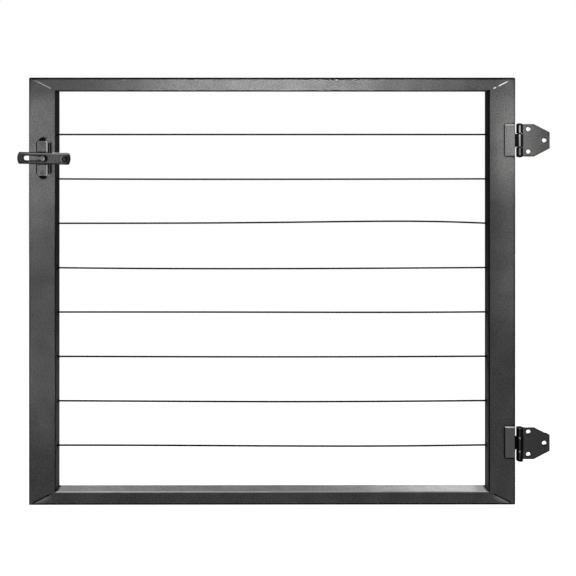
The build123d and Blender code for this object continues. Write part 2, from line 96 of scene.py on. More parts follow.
def powder_coat(name, dark, light, roughness, specular):
    """Black polyester powder coat. It gives the eye a dull charcoal skin, finely pebbled where
    the powder flowed together and a little cloudy where it lies thicker. The pebble is about
    0.5 mm and is drawn six times as coarse, so that it shows."""
    cloud_size = 40 * MM
    pebble_size = 3 * MM
    pebble_depth = 0.15 * MM
    pebble_share = 0.7
    darkest, lightest = 0.38, 0.62
    gloss_change = 0.08
    finish, tree = new_finish(name)
    place = add(tree, "ShaderNodeTexCoord", {}).outputs["Object"]
    cloud = add(tree, "ShaderNodeTexNoise", {
        "Vector": place, "Scale": 1 / cloud_size, "Detail": 3.0}).outputs["Fac"]
    pebble = add(tree, "ShaderNodeTexNoise", {
        "Vector": place, "Scale": 1 / pebble_size, "Detail": 2.0, "Roughness": 0.6}).outputs["Fac"]
    mottle = add(tree, "ShaderNodeMixRGB", {
        "Fac": pebble_share, "Color1": cloud, "Color2": pebble})
    shade = add(tree, "ShaderNodeMapRange", {
        "Value": mottle, "From Min": darkest, "From Max": lightest})
    colour = add(tree, "ShaderNodeMixRGB", {
        "Fac": shade, "Color1": linear(dark), "Color2": linear(light)})
    gloss = add(tree, "ShaderNodeMapRange", {
        "Value": cloud, "To Min": roughness - gloss_change, "To Max": roughness + gloss_change})
    bump = add(tree, "ShaderNodeBump", {
        "Height": pebble, "Strength": 0.5, "Distance": pebble_depth})
    shader = add(tree, "ShaderNodeBsdfPrincipled", {
        "Base Color": colour, "Roughness": gloss, "Specular IOR Level": specular, "Normal": bump})
    add(tree, "ShaderNodeOutputMaterial", {"Surface": shader})
    return finish, tree, shader


frame_coat, tree, shader = powder_coat("black_powder_coat", **frame_tones)

# Painted shade on the sides of the stiles: darker than in front. Painted light makes them
# lighter towards the ground, most on the latch's side.
square_on = 0.95
side_light_span = (low_z + 170 * MM, top_z - 290 * MM)


def cover(tree, shader, mask, hex_colour):
    """Lays a colour over a coat where the mask is 1."""
    coat_colour = shader.inputs["Base Color"].links[0].from_socket
    covered = add(tree, "ShaderNodeMixRGB", {
        "Fac": mask, "Color1": coat_colour, "Color2": linear(hex_colour)})
    tree.links.new(covered.outputs["Color"], shader.inputs["Base Color"])


def place_on(tree, axis):
    """Where a point of a piece lies along an axis of the frame."""
    place = add(tree, "ShaderNodeTexCoord", {}).outputs["Object"]
    return add(tree, "ShaderNodeSeparateXYZ", {"Vector": place}).outputs[axis]


def fade(tree, axis, span, start=0.0, end=1.0):
    """A mask that goes from start to end over a span, two places on an axis of the frame."""
    return add(tree, "ShaderNodeMapRange", {
        "Value": place_on(tree, axis), "From Min": span[0], "From Max": span[1],
        "To Min": start, "To Max": end})


def facing(tree, axis):
    """How much of a piece's own normal lies along an axis of the frame."""
    normal = add(tree, "ShaderNodeTexCoord", {}).outputs["Normal"]
    return add(tree, "ShaderNodeSeparateXYZ", {"Vector": normal}).outputs[axis]


def facing_share(tree, axis):
    """The same squared, so that both ways along the axis count alike."""
    share = facing(tree, axis)
    return add(tree, "ShaderNodeMath", {0: share, 1: share}, operation="MULTIPLY")


def overlap(tree, mask, *others):
    """The mask where all of these masks hold."""
    for other in others:
        mask = add(tree, "ShaderNodeMath", {0: mask, 1: other}, operation="MULTIPLY")
    return mask


# The sides are painted darker as shade, and lighter lower down as painted light.
on_side = add(tree, "ShaderNodeMath", {
    0: facing_share(tree, "X"), 1: square_on}, operation="GREATER_THAN")
cover(tree, shader, on_side, "343434")
side_light = fade(tree, "Z", side_light_span, start=0.57, end=0.0)
more_by_latch = fade(tree, "X", between_stiles, start=1.1, end=0.84)
cover(tree, shader, overlap(tree, on_side, side_light, more_by_latch), "8b8b8b")

# Painted shade on the edges of stiles and top rail: their rounded edges are painted black, which
# outlines the frame, widest on the outer sides and on the hinge stile. The rail is painted darker
# towards the latch as shade, and so is its rounded top edge.
painted_edge_shade = "0e0e0e"
hinge_edge_span = (hinge_high.x - 3.8 * MM, hinge_high.x - 3.0 * MM)
latch_edge_span = (latch_low.x + 2.4 * MM, latch_low.x + 3.6 * MM)
lower_edge_span = (top_z - 400 * MM, top_z - 100 * MM)
corner_span = (top_z - 85 * MM, top_z - 15 * MM)
rail_end_span = (middle_x - 360 * MM, middle_x - 190 * MM)
rail_span = (top_rail_low.z - 20 * MM, top_rail_low.z)
top_edge_span = (top_z - 4.1 * MM, top_z - 3.5 * MM)
narrow_turn = (0.01, 0.61)
wide_turn = (0.01, 0.93)
latch_side_x = latch_low.x + 25 * MM
hinge_side_x = hinge_low.x - 1 * MM


def either(tree, mask, *others):
    """The mask where any of these masks holds."""
    for other in others:
        mask = add(tree, "ShaderNodeMath", {0: mask, 1: other}, operation="MAXIMUM")
    return mask


def past(tree, axis, place):
    """A mask that is 1 past a place on an axis of the frame."""
    return add(tree, "ShaderNodeMath", {
        0: place_on(tree, axis), 1: place}, operation="GREATER_THAN")


def short_of(tree, axis, place):
    """A mask that is 1 before a place on an axis of the frame."""
    return add(tree, "ShaderNodeMath", {0: place_on(tree, axis), 1: place}, operation="LESS_THAN")


def edge_turn(tree, least, most):
    """A mask that is 1 on an edge where it has turned to the front or back from least to most,
    of which 0 is square to the front and 1 is the front itself."""
    middle, half = (least + most) / 2, (most - least) / 2
    return add(tree, "ShaderNodeMath", {
        0: facing_share(tree, "Y"), 1: middle, 2: half}, operation="COMPARE")


hinge_edge = fade(tree, "X", hinge_edge_span)
more_below = fade(tree, "Z", lower_edge_span, start=0.95, end=0.15)
cover(tree, shader, overlap(tree, hinge_edge, more_below), painted_edge_shade)
latch_edge = fade(tree, "X", latch_edge_span, start=1.0, end=0.0)
near_corner = fade(tree, "Z", corner_span, start=0.25, end=0.85)
cover(tree, shader, overlap(tree, either(tree, latch_edge, hinge_edge), near_corner), painted_edge_shade)
# The rail's end and its top edge are painted darker as shade.
rail_end = fade(tree, "X", rail_end_span, start=0.5, end=0.0)
on_rail = fade(tree, "Z", rail_span)
cover(tree, shader, overlap(tree, rail_end, on_rail), "2c2c2c")
cover(tree, shader, fade(tree, "Z", top_edge_span), "0c0c0c")
cover(tree, shader, edge_turn(tree, *narrow_turn), painted_edge_shade)
outside = either(tree, past(tree, "X", hinge_side_x), short_of(tree, "X", latch_side_x))
cover(tree, shader, overlap(tree, edge_turn(tree, *wide_turn), outside), painted_edge_shade)

# Painted shade on the stiles: dark round what is fixed to them, most beside the leaves of the
# hinges, and left out above and below the latch plate on the knob's side.
leaf_side_x = hinge_low.x + 8 * MM
unshaded_height = 20 * MM
plate_low, plate_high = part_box("latch_plate")
plate_middle = (plate_low + plate_high) / 2
plate_half = plate_high.z - plate_middle.z


def away(tree, value, centre):
    """How far a place lies from a centre, either way."""
    apart = add(tree, "ShaderNodeMath", {0: value, 1: centre}, operation="SUBTRACT")
    return add(tree, "ShaderNodeMath", {0: apart}, operation="ABSOLUTE")


def crowded(tree, reach, full=0.62, none=0.82, inside=False):
    """A mask that is 1 where other surfaces within reach leave no more than full open, and 0
    where they leave none or more. Inside looks into the piece itself instead."""
    free = add(tree, "ShaderNodeAmbientOcclusion", {"Distance": reach},
               samples=8, inside=inside, only_local=inside)
    return add(tree, "ShaderNodeMapRange", {
        "Value": free.outputs["AO"], "From Min": full, "From Max": none,
        "To Min": 1.0, "To Max": 0.0})


def dress(finish, *names):
    """Gives CAD nodes their finish."""
    for name in names:
        for slot in nodes[name].material_slots:
            slot.material = finish


# Painted shade beside the hinge leaves and round the latch, but not beside the plate.
leaf_shade = crowded(tree, reach=9 * MM, full=0.74, none=0.88)
cover(tree, shader, overlap(tree, leaf_shade, past(tree, "X", leaf_side_x)), "080808")
off_plate = away(tree, place_on(tree, "Z"), plate_middle.z)
past_plate = add(tree, "ShaderNodeMath", {0: off_plate, 1: plate_half}, operation="GREATER_THAN")
by_plate = add(tree, "ShaderNodeMath", {
    0: off_plate, 1: plate_half + unshaded_height}, operation="LESS_THAN")
left_lit = overlap(tree, past_plate, by_plate, past(tree, "X", plate_middle.x))
shade_left = add(tree, "ShaderNodeMapRange", {"Value": left_lit, "To Min": 0.85, "To Max": 0.0})
cover(tree, shader, overlap(tree, crowded(tree, reach=6 * MM), shade_left), "0a0a0a")
dress(frame_coat, "latch_stile", "hinge_stile", "top_rail")

# Coat on the bottom rail: the same, with painted highlights on the edges of its top, brightest
# on the latch's side. Painted shade blackens its rounded edges, lies in its corners and darkens
# its top beside the hinge stile.
shaded_end_span = (hinge_low.x - 27 * MM, hinge_low.x - 15 * MM)
edge_highlight_span = (middle_x, middle_x + 240 * MM)
edge_highlight_turn, edge_highlight_half = 0.65, 0.34
low_edge_span = (low_z + 3.4 * MM, low_z + 4.0 * MM)


def faces_along(tree, axis, least):
    """A mask that is 1 where a piece faces along an axis, by more than least of its normal."""
    return add(tree, "ShaderNodeMath", {
        0: facing(tree, axis), 1: least}, operation="GREATER_THAN")


sill_coat, tree, shader = powder_coat("highlit_powder_coat", **frame_tones)
cover(tree, shader, edge_turn(tree, *wide_turn), "121212")
on_top = faces_along(tree, "Z", least=square_on)
shaded_end = fade(tree, "X", shaded_end_span, start=0.0, end=0.45)
cover(tree, shader, overlap(tree, shaded_end, on_top), "1e1e1e")
edge_highlight = add(tree, "ShaderNodeMath", {
    0: facing(tree, "Z"), 1: edge_highlight_turn, 2: edge_highlight_half}, operation="COMPARE")
more_by_latch = fade(tree, "X", edge_highlight_span, start=1.0, end=0.0)
# Painted highlight along the rounded top edges.
cover(tree, shader, edge_highlight, "585858")
cover(tree, shader, overlap(tree, edge_highlight, more_by_latch), "8d8d8d")
cover(tree, shader, fade(tree, "Z", low_edge_span, start=1.0, end=0.0), painted_edge_shade)
cover(tree, shader, crowded(tree, reach=10 * MM, full=0.7, none=0.82), "0a0a0a")
dress(sill_coat, "bottom_rail")

# Corner welds: one run of weld along the flat of each mitre, front and back, ground down
# and coated with the frame. The runs at the top carry bright broken streaks along their crest,
# and those at the bottom are ground wide on the rail's side and leave the joint itself open.
stile_width = latch_high.x - latch_low.x
rail_height = top_rail_high.z - top_rail_low.z
edge_clear = 4.2 * MM


def new_object(name, data):
    """Adds an object of that name to the scene."""
    made = bpy.data.objects.new(name, data)
    bpy.context.scene.collection.objects.link(made)
    return made


def weld_run(cells, corner, inside, face_y, outward, near, far, crest):
    """Adds one closed weld run to cells, a bmesh with a UV layer: u along it, v across it. It
    reaches near on the stile and far on the rail, as far as the flat of the rail goes. Shares
    are the places across it, with a flank that is sunk into the tube at each end."""
    steps = 36
    shares = (0.0, 0.0, 0.12, 0.28, 0.43, 0.57, 0.72, 0.88, 1.0, 1.0)
    count = len(shares)
    sunk = 0.2 * MM
    waves, corner_step, corner_start = 14, 70, 5
    blunt_end, end_rise = 0.15, 8
    width_swell, end_width = 0.3, 0.6
    crest_swell, crest_round = 0.35, 0.6
    uv = cells.loops.layers.uv.verify()
    tip = Vector((corner[0], face_y, corner[1]))
    along = Vector((inside[0] * stile_width, 0, inside[1] * rail_height))
    across = Vector((inside[0] * rail_height, 0, -inside[1] * stile_width)).normalized()
    margin = edge_clear / rail_height
    rings = []
    for step in range(steps + 1):
        u = step / steps
        share_along = margin + (1 - 2 * margin) * u
        flat_left = (rail_height * share_along - edge_clear) / abs(across.z)
        swell = noise.noise((
            u * waves, corner[0] * corner_step + corner_start, corner[1] * corner_step + outward))
        taper = min(1.0, blunt_end + end_rise * u, blunt_end + end_rise * (1 - u))
        width = (1 + width_swell * swell) * (end_width + (1 - end_width) * taper)
        crest_here = crest * taper * (1 + crest_swell * swell)
        nearest = -near * width
        farthest = min(far * width, flat_left)
        ring = []
        for at, share in enumerate(shares):
            reach = nearest + (farthest - nearest) * share
            flank = at in (0, count - 1)
            height = -sunk if flank else crest_here * (4 * share * (1 - share)) ** crest_round
            point = tip + along * share_along + across * reach + Vector((0, outward * height, 0))
            ring.append((cells.verts.new(point), (u, (reach + near) / (far + near))))
        rings.append(ring)
    for step in range(steps):
        for at in range(count):
            beside = (at + 1) % count
            corners = [rings[step][at], rings[step + 1][at],
                       rings[step + 1][beside], rings[step][beside]]
            face = cells.faces.new([vertex for vertex, place in corners])
            face.smooth = True
            for loop, (vertex, place) in zip(face.loops, corners):
                loop[uv].uv = place
    for ring in (rings[0], rings[-1]):
        cells.faces.new([vertex for vertex, place in ring])


def weld_piece(name, corner_z, inside_z, near, far, crest, finish):
    """The four runs at the top or bottom of the frame, as one piece."""
    cells = bmesh.new()
    for corner_x, inside_x in ((latch_low.x, 1), (hinge_high.x, -1)):
        for face_y, outward in ((latch_low.y, -1), (latch_high.y, 1)):
            weld_run(cells, (corner_x, corner_z), (inside_x, inside_z),
                     face_y, outward, near, far, crest)
    bmesh.ops.recalc_face_normals(cells, faces=cells.faces)
    mesh = bpy.data.meshes.new(name)
    cells.to_mesh(mesh)
    cells.free()
    mesh.materials.append(finish)
    piece = new_object(name, mesh)
    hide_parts("corner_welds")
    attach(piece, "gate")


def place_on_run(tree):
    """Where a point lies on its weld run: X along it from the corner, Y across it to the rail."""
    return add(tree, "ShaderNodeSeparateXYZ", {"Vector": add(tree, "ShaderNodeUVMap", {})}).outputs


# Bright broken streaks on the crest of a weld, brightest at the hinge stile, with painted shade
# on the run beside them.
crest_place, bright_half, shaded_half = 0.5, 0.25, 0.4
corner_fade = (0.15, 0.25)
streak_length = 16 * MM
streak_fade = (0.33, 0.43)

streaked_weld, tree, shader = powder_coat("streaked_weld", **frame_tones)
on_run = place_on_run(tree)
off_corner = add(tree, "ShaderNodeMapRange", {
    "Value": on_run["X"], "From Min": corner_fade[0], "From Max": corner_fade[1]})
streak = add(tree, "ShaderNodeTexNoise", {
    "Vector": add(tree, "ShaderNodeTexCoord", {}).outputs["Object"],
    "Scale": 1 / streak_length, "Detail": 2.0}).outputs["Fac"]
broken = add(tree, "ShaderNodeMapRange", {
    "Value": streak, "From Min": streak_fade[0], "From Max": streak_fade[1]})
streaked = overlap(tree, off_corner, broken)
# Painted shade beside the streaks.
beside_crest = add(tree, "ShaderNodeMath", {
    0: on_run["Y"], 1: crest_place, 2: shaded_half}, operation="COMPARE")
cover(tree, shader, overlap(tree, beside_crest, streaked), "353535")
on_crest = add(tree, "ShaderNodeMath", {
    0: on_run["Y"], 1: crest_place, 2: bright_half}, operation="COMPARE")
more_by_hinges = fade(tree, "X", between_stiles, start=0.28, end=1.0)
cover(tree, shader, overlap(tree, on_crest, streaked, more_by_hinges), "f0f0f0")
weld_piece("top_welds", top_z, -1, near=2.0 * MM, far=2.0 * MM, crest=0.45 * MM,
           finish=streaked_weld)

# Coat over a ground joint: thin and pale where the steel was ground, less so at the inner end
# of the run, and black in the open joint.
joint_edge = 0.2
ground_fade = (0.25, 0.95)
inner_fade = (0.65, 1.0)

ground_weld, tree, shader = powder_coat("ground_weld", **frame_tones)
on_run = place_on_run(tree)
ground = add(tree, "ShaderNodeMapRange", {
    "Value": on_run["Y"], "From Min": ground_fade[0], "From Max": ground_fade[1],
    "To Min": 1.0, "To Max": 0.0})
less_inside = add(tree, "ShaderNodeMapRange", {
    "Value": on_run["X"], "From Min": inner_fade[0], "From Max": inner_fade[1],
    "To Min": 1.0, "To Max": 0.2})
cover(tree, shader, overlap(tree, ground, less_inside), "989898")
in_joint = add(tree, "ShaderNodeMath", {0: on_run["Y"], 1: joint_edge}, operation="LESS_THAN")
cover(tree, shader, in_joint, "0c0c0c")
weld_piece("bottom_welds", low_z, 1, near=1.6 * MM, far=10.0 * MM, crest=0.2 * MM,
           finish=ground_weld)

# Wire ropes: strand of nineteen steel wires, twelve of them outside, oxidised black. Each
# is drawn tight between its stop and its stud. Some keep a slight bow, which is given by its
# height and by the place of its peak along the free span.
outer_wires = 12
wire_lay = 30 * MM
valley_share = 0.86
rings_per_lay = 12
ring_points = 2 * outer_wires
rope_bows = {
    2: (-0.75 * MM, 0.42), 3: (3.8 * MM, 0.79), 4: (-2.1 * MM, 0.42), 5: (-0.8 * MM, 0.75),
    6: (-1.1 * MM, 0.55), 7: (-1.95 * MM, 0.56), 8: (-2.2 * MM, 0.68)}
straight = (0.0, 0.5)


def rope_bow(bow, peak, s):
    """How far a rope stands off its straight line at s of its free span, which is most at peak."""
    if not 0 < s < 1:
        return 0.0
    return bow * sin(pi * s ** (log(0.5) / log(peak)))


# Black oxide on drawn wire: near black and dull, and a little cloudy from wire to wire.
patch_size = 4 * MM

black_oxide_wire, tree = new_finish("black_oxide_wire")
patch = add(tree, "ShaderNodeTexNoise", {
    "Vector": add(tree, "ShaderNodeTexCoord", {}).outputs["Object"],
    "Scale": 1 / patch_size, "Detail": 3.0}).outputs["Fac"]
wire_colour = add(tree, "ShaderNodeMixRGB", {
    "Fac": patch, "Color1": linear("070707"), "Color2": linear("111111")})
wire_gloss = add(tree, "ShaderNodeMapRange", {"Value": patch, "To Min": 0.4, "To Max": 0.6})
shader = add(tree, "ShaderNodeBsdfPrincipled", {
    "Base Color": wire_colour, "Roughness": wire_gloss, "Specular IOR Level": 0.0})
add(tree, "ShaderNodeOutputMaterial", {"Surface": shader})

for number in range(1, 9):
    rope_low, rope_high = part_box(f"cable_{number}")
    rope_middle = (rope_low + rope_high) / 2
    rope_radius = (rope_high.z - rope_low.z) / 2
    bow, peak = rope_bows.get(number, straight)
    ring_count = round((rope_high.x - rope_low.x) / wire_lay * rings_per_lay)
    points = []
    for ring in range(ring_count + 1):
        x = rope_low.x + (rope_high.x - rope_low.x) * ring / ring_count
        s = (x - latch_high.x) / (hinge_low.x - latch_high.x)
        z = rope_middle.z + rope_bow(bow, peak, s)
        for at in range(ring_points):
            angle = 2 * pi * (at / ring_points + (x - rope_low.x) / wire_lay)
            reach = rope_radius * (valley_share if at % 2 else 1.0)
            points.append((x, rope_middle.y + reach * cos(angle), z + reach * sin(angle)))
    first_end = tuple(reversed(range(ring_points)))
    last_end = tuple(range(ring_count * ring_points, len(points)))
    faces = [first_end, last_end]
    for ring in range(ring_count):
        here = ring * ring_points
        there = here + ring_points
        for at in range(ring_points):
            beside = (at + 1) % ring_points
            faces.append((here + at, here + beside, there + beside, there + at))
    mesh = bpy.data.meshes.new(f"wire_rope_{number}")
    mesh.from_pydata(points, [], faces)
    mesh.polygons.foreach_set("use_smooth", [False, False] + [True] * (len(faces) - 2))
    mesh.materials.append(black_oxide_wire)
    rope = new_object(f"wire_rope_{number}", mesh)
    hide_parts(f"cable_{number}")
    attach(rope, "gate")

# Rope ends: crimped stops, threaded studs and long nuts, all inside the stiles. They are
# steel with a bright zinc plate, dulled in patches where the plate was passivated.
spangle_size = 3 * MM
dull_size = 6 * MM

zinc_plate, tree = new_finish("zinc_plate")
place = add(tree, "ShaderNodeTexCoord", {}).outputs["Object"]
spangle = add(tree, "ShaderNodeTexVoronoi", {
    "Vector": place, "Scale": 1 / spangle_size}).outputs["Color"]
dull = add(tree, "ShaderNodeTexNoise", {
    "Vector": place, "Scale": 1 / dull_size, "Detail": 3.0}).outputs["Fac"]
zinc_colour = add(tree, "ShaderNodeMixRGB", {
    "Fac": spangle, "Color1": linear("b7b7b7"), "Color2": linear("cacaca")})
zinc_gloss = add(tree, "ShaderNodeMapRange", {"Value": dull, "To Min": 0.25, "To Max": 0.5})
shader = add(tree, "ShaderNodeBsdfPrincipled", {
    "Base Color": zinc_colour, "Metallic": 1.0, "Roughness": zinc_gloss})
add(tree, "ShaderNodeOutputMaterial", {"Surface": shader})
dress(zinc_plate, "cable_stops", "cable_studs", "tension_nuts")

# Grommets and plugs: moulded black polypropylene, pushed into the holes of the stiles. The
# grommets guide the ropes and the plugs close the holes that their ends go in through.


def moulding(name, dark, light, roughness, specular):
    """Moulded plastic or rubber: an even black with a fine spark-eroded grain. The grain is
    about 0.1 mm and is drawn five times as coarse, so that it shows."""
    grain_size = 0.5 * MM
    grain_depth = 0.05 * MM
    flow_size = 6 * MM
    gloss_change = 0.06
    finish, tree = new_finish(name)
    place = add(tree, "ShaderNodeTexCoord", {}).outputs["Object"]
    grain = add(tree, "ShaderNodeTexNoise", {
        "Vector": place, "Scale": 1 / grain_size, "Detail": 1.0}).outputs["Fac"]
    flow = add(tree, "ShaderNodeTexNoise", {
        "Vector": place, "Scale": 1 / flow_size, "Detail": 2.0}).outputs["Fac"]
    colour = add(tree, "ShaderNodeMixRGB", {
        "Fac": flow, "Color1": linear(dark), "Color2": linear(light)})
    gloss = add(tree, "ShaderNodeMapRange", {
        "Value": flow, "To Min": roughness - gloss_change, "To Max": roughness + gloss_change})
    bump = add(tree, "ShaderNodeBump", {
        "Height": grain, "Strength": 0.3, "Distance": grain_depth})
    shader = add(tree, "ShaderNodeBsdfPrincipled", {
        "Base Color": colour, "Roughness": gloss, "Specular IOR Level": specular, "Normal": bump})
    add(tree, "ShaderNodeOutputMaterial", {"Surface": shader})
    return finish, tree, shader


polypropylene = moulding(
    "moulded_polypropylene", dark="0c0c0c", light="171717", roughness=0.5, specular=0.02)[0]
dress(polypropylene, "latch_side_grommets", "hinge_side_grommets",
      "latch_side_plugs", "hinge_side_plugs")

# Hinges: two strips of steel sheet each, rolled round a headed pin. The barrels are painted
# black as shade, with a painted highlight along their crown, most on the upper one, and painted
# highlights on the lower one's upper ends and just above the joints of its knuckles.
pin_low, pin_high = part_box("upper_hinge_pin")
axis_x = (pin_low.x + pin_high.x) / 2
hinge_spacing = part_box("upper_post_leaf")[1].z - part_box("lower_post_leaf")[1].z
between_hinges = (pin_low.z - 400 * MM, pin_low.z)
leaf_front = -3.0 * MM
roll_span = (leaf_front - 0.6 * MM, leaf_front - 0.2 * MM)
barrel_front_span = (-9.0 * MM, -8.0 * MM)
neck_fade = 0.3 * MM
crown_x = axis_x - 1.7 * MM
crown_fade = (0.4 * MM, 1.8 * MM)
knuckle_joint = 12.65 * MM
joint_fade = (1.0 * MM, 2.2 * MM)
barrel_end_fade = (26.5 * MM, 28.5 * MM)
highlit_rings = (14.1 * MM, -11.1 * MM)
ring_half = 0.9 * MM
wall_share = 0.2


def faces_against(tree, axis, least):
    """A mask that is 1 where a piece faces against an axis, by more than least of its normal."""
    return add(tree, "ShaderNodeMath", {0: facing(tree, axis), 1: -least}, operation="LESS_THAN")


def wall_along(tree, axis):
    """A mask that is 1 on the walls of a piece that run along an axis of the frame."""
    return add(tree, "ShaderNodeMath", {
        0: facing_share(tree, axis), 1: wall_share}, operation="LESS_THAN")


def shade_barrel(tree, shader, neck):
    """Paints a leaf black as shade where it is rolled, which is in front of its flat and within
    neck of the pin, and then paints a highlight along the crown of the barrel and on the lower
    knuckles."""
    x, z = (place_on(tree, axis) for axis in "XZ")
    rolled = fade(tree, "Y", roll_span, start=1.0, end=0.0)
    by_pin = add(tree, "ShaderNodeMapRange", {
        "Value": away(tree, x, axis_x), "From Min": neck - neck_fade, "From Max": neck,
        "To Min": 1.0, "To Max": 0.0})
    cover(tree, shader, either(tree, rolled, by_pin), "070707")

    crown = add(tree, "ShaderNodeMapRange", {
        "Value": away(tree, x, crown_x), "From Min": crown_fade[0], "From Max": crown_fade[1],
        "To Min": 1.0, "To Max": 0.0})
    front = fade(tree, "Y", barrel_front_span, start=1.0, end=0.0)
    more_above = fade(tree, "Z", between_hinges, start=0.4, end=1.0)
    from_hinge = away(tree, away(tree, z, hinge_spacing / 2), hinge_spacing / 2)
    off_joint = add(tree, "ShaderNodeMapRange", {
        "Value": away(tree, from_hinge, knuckle_joint),
        "From Min": joint_fade[0], "From Max": joint_fade[1]})
    off_end = add(tree, "ShaderNodeMapRange", {
        "Value": from_hinge, "From Min": barrel_end_fade[0], "From Max": barrel_end_fade[1],
        "To Min": 1.0, "To Max": 0.0})
    left_lit = overlap(tree, crown, front, wall_along(tree, "Z"), more_above, off_joint, off_end)
    # Painted highlight along the crown of the barrel.
    cover(tree, shader, left_lit, "767676")

    # Painted highlights on the lower hinge's upward faces and just above its knuckle joints.
    on_lower = fade(tree, "Z", between_hinges, start=1.0, end=0.0)
    highlit = faces_along(tree, "Z", least=0.5)
    for ring_z in highlit_rings:
        ring = add(tree, "ShaderNodeMath", {0: z, 1: ring_z, 2: ring_half}, operation="COMPARE")
        highlit = either(tree, highlit, ring)
    cover(tree, shader, overlap(tree, highlit, front, crown, on_lower), "f0f0f0")


def broken_edge(tree):
    """A mask that is 1 on the edges of a piece that were broken at 45 degrees to its front."""
    return edge_turn(tree, least=0.35, most=0.65)


# Gate leaves: the halves that are welded to the hinge stile. Their coat is smoother and paler
# than the frame's, palest on the lower one, with a painted highlight on the edges of the upper
# one.
# Their walls, undersides and the foot of the lower one are painted black as shade, and their top
# edges are painted bright as a highlight.
gate_leaf_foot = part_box("lower_gate_leaf")[0].z + 2.0 * MM

gate_leaf_coat, tree, shader = powder_coat(
    "gate_leaf_coat", dark="525252", light="666666", roughness=0.5, specular=0.01)
cover(tree, shader, fade(tree, "Z", between_hinges, start=0.75, end=0.0), "747474")
more_above = fade(tree, "Z", between_hinges, start=0.15, end=1.0)
# Painted highlight on the upper leaf's edges, painted shade on walls, undersides and foot, and a
# painted highlight on top edges.
cover(tree, shader, overlap(tree, broken_edge(tree), more_above), "8a8a8a")
cover(tree, shader, wall_along(tree, "Y"), "080808")
cover(tree, shader, faces_against(tree, "Z", least=0.4), "080808")
cover(tree, shader, short_of(tree, "Z", gate_leaf_foot), "080808")
cover(tree, shader, faces_along(tree, "Z", least=0.4), "c8c8c8")
shade_barrel(tree, shader, neck=8.0 * MM)
dress(gate_leaf_coat, "upper_gate_leaf", "lower_gate_leaf")

# Post leaves: the tapered halves that are screwed to the post. Their coat is darker than the
# frame's, less so on the lower one, with painted shade along edges and round holes. The walls of
# the holes that face the gate are bare steel, and the top of the lower leaf carries a painted
# highlight.
flat_x = axis_x + 8 * MM
lower_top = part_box("lower_post_leaf")[1].z
top_highlight_z, top_highlight_half = lower_top - 5 * MM, 6 * MM


def own_edges(tree, reach):
    """A mask that is 1 along a piece's own edges, where its walls lie within reach."""
    return crowded(tree, reach, full=0.75, none=0.97, inside=True)


post_leaf_coat, tree, shader = powder_coat(
    "post_leaf_coat", dark="414141", light="535353", roughness=0.5, specular=0.01)
cover(tree, shader, fade(tree, "Z", between_hinges, start=0.75, end=0.0), "555555")
# Painted shade along the leaf's own edges and holes.
cover(tree, shader, own_edges(tree, reach=2.5 * MM), "161616")
gateward = faces_against(tree, "X", least=0.75)
bare_wall = overlap(tree, wall_along(tree, "Y"), gateward, past(tree, "X", flat_x))
cover(tree, shader, bare_wall, "e8e8e8")
tree.links.new(bare_wall.outputs["Value"], shader.inputs["Metallic"])
# Painted highlight on the top of the lower leaf.
near_top = add(tree, "ShaderNodeMath", {
    0: place_on(tree, "Z"), 1: top_highlight_z, 2: top_highlight_half}, operation="COMPARE")
cover(tree, shader, overlap(tree, faces_along(tree, "Z", least=0.4), near_top), "d0d0d0")
shade_barrel(tree, shader, neck=6.4 * MM)
dress(post_leaf_coat, "upper_post_leaf", "lower_post_leaf")

# Hinge pins: turned steel with domed heads, driven through the knuckles. They are coated too,
# and oil has made them near black, with a soft shine on the domes.
oiled_steel = powder_coat(
    "oiled_steel", dark="070707", light="0e0e0e", roughness=0.4, specular=0.02)[0]
dress(oiled_steel, "upper_hinge_pin", "lower_hinge_pin")

# Latch base: an eight-sided pad of moulded rubber between the plate and the stile. Its points
# keep the rubber's black. Its front beside the plate, its slopes by the knob and its wall on the
# knob's side are painted grey as lit, and its left edge, its corners and a strip below the plate
# are painted black as shade.
base_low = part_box("latch_base")[0]
front_share = 0.9
lit_x = plate_middle.x - 6.4 * MM
edge_x = base_low.x + 2.2 * MM
bar_clear = 9.0 * MM
slope_turn, slope_half = 0.5, 0.3
slope_x = plate_middle.x + 5.4 * MM
strip_x, strip_half = plate_middle.x + 5.8 * MM, 1.4 * MM
front_y = base_low.y + 2.9 * MM

base_rubber, tree, shader = moulding(
    "moulded_rubber", dark="070707", light="0e0e0e", roughness=0.75, specular=0.01)
on_front = add(tree, "ShaderNodeMath", {
    0: facing_share(tree, "Y"), 1: front_share}, operation="GREATER_THAN")
# The front is painted grey as lit, and its edges and corners are painted black as shade.
cover(tree, shader, overlap(tree, on_front, short_of(tree, "X", lit_x)), "5b5b5b")
off_bar = add(tree, "ShaderNodeMath", {
    0: away(tree, place_on(tree, "Z"), plate_middle.z), 1: bar_clear}, operation="GREATER_THAN")
cover(tree, shader, overlap(tree, short_of(tree, "X", edge_x), off_bar), "0a0a0a")
cover(tree, shader, crowded(tree, reach=3 * MM), "060606")
sloping = add(tree, "ShaderNodeMath", {
    0: facing_share(tree, "Z"), 1: slope_turn, 2: slope_half}, operation="COMPARE")
cover(tree, shader, overlap(tree, sloping, past(tree, "X", slope_x)), "848484")
downward = faces_against(tree, "Z", least=0.0)
on_strip = add(tree, "ShaderNodeMath", {
    0: place_on(tree, "X"), 1: strip_x, 2: strip_half}, operation="COMPARE")
cover(tree, shader, overlap(tree, sloping, downward, on_strip), "0a0a0a")
knob_wall = faces_along(tree, "X", least=0.6)
cover(tree, shader, overlap(tree, knob_wall, short_of(tree, "Y", front_y)), "4c4c4c")
dress(base_rubber, "latch_base")

# Latch plate and its two screws: coated steel, screwed through the pad into the stile. The
# plate's upper half is darker. Its edges carry a painted highlight, most on the knob's side, and
# painted shade lies on its walls, beside the bar and in the screws.
upper_half_span = (plate_middle.z, plate_middle.z + 4 * MM)
knob_edge_span = (plate_high.x - 5 * MM, plate_high.x - 2 * MM)

